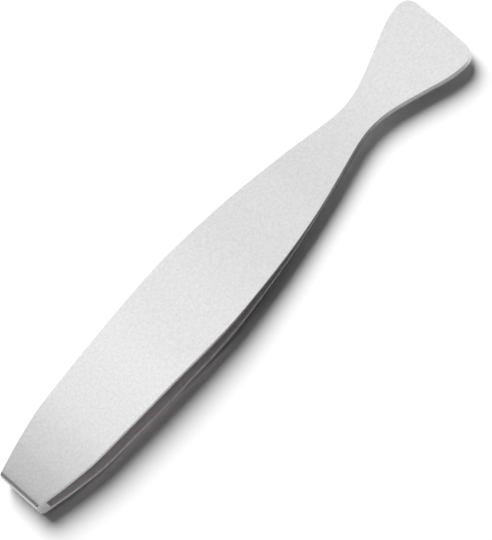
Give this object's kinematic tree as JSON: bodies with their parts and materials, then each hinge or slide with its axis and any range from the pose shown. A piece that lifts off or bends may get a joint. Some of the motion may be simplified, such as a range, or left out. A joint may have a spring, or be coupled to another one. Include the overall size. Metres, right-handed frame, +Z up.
{
  "type": "fish tongs",
  "caption": "Flat spring tongs of sheet steel in the outline of a fish, with turned-in jaws at the snout and a flared, welded tail.",
  "frame": {"origin": "middle of the base: half way along and across, at the height of the lowest point of the lower leaf", "axes": "+X from the jaws to the tail, Y across, +Z up with the tongs lying flat on the lower leaf"},
  "size_m": [0.15, 0.024, 0.0084],
  "materials": {
    "leaf_steel": "fine satin grain, soft sheen",
    "weld_steel": "bare fused steel between the leaves"
  },
  "bodies": {
    "lower_arm": {"lower_arm": "leaf_steel"},
    "tail": {"lower_tail": "leaf_steel", "upper_tail": "leaf_steel", "spot_welds": "weld_steel"},
    "upper_arm": {"upper_arm": "leaf_steel"}
  },
  "joints": [
    {"name": "lower_flex", "type": "hinge", "parent": "lower_arm", "child": "tail", "pos_m": [0.021, 0, 0.00297], "axis": [0, 1, 0], "range_deg": [0, 3], "stiffness_Nm_per_rad": 16},
    {"name": "upper_flex", "type": "hinge", "parent": "tail", "child": "upper_arm", "pos_m": [0.021, 0, 0.00543], "axis": [0, 1, 0], "range_deg": [0, 3], "stiffness_Nm_per_rad": 16}
  ],
  "couplings": [
    {"joint": "upper_flex", "follows": "lower_flex", "ratio": 1}
  ]
}
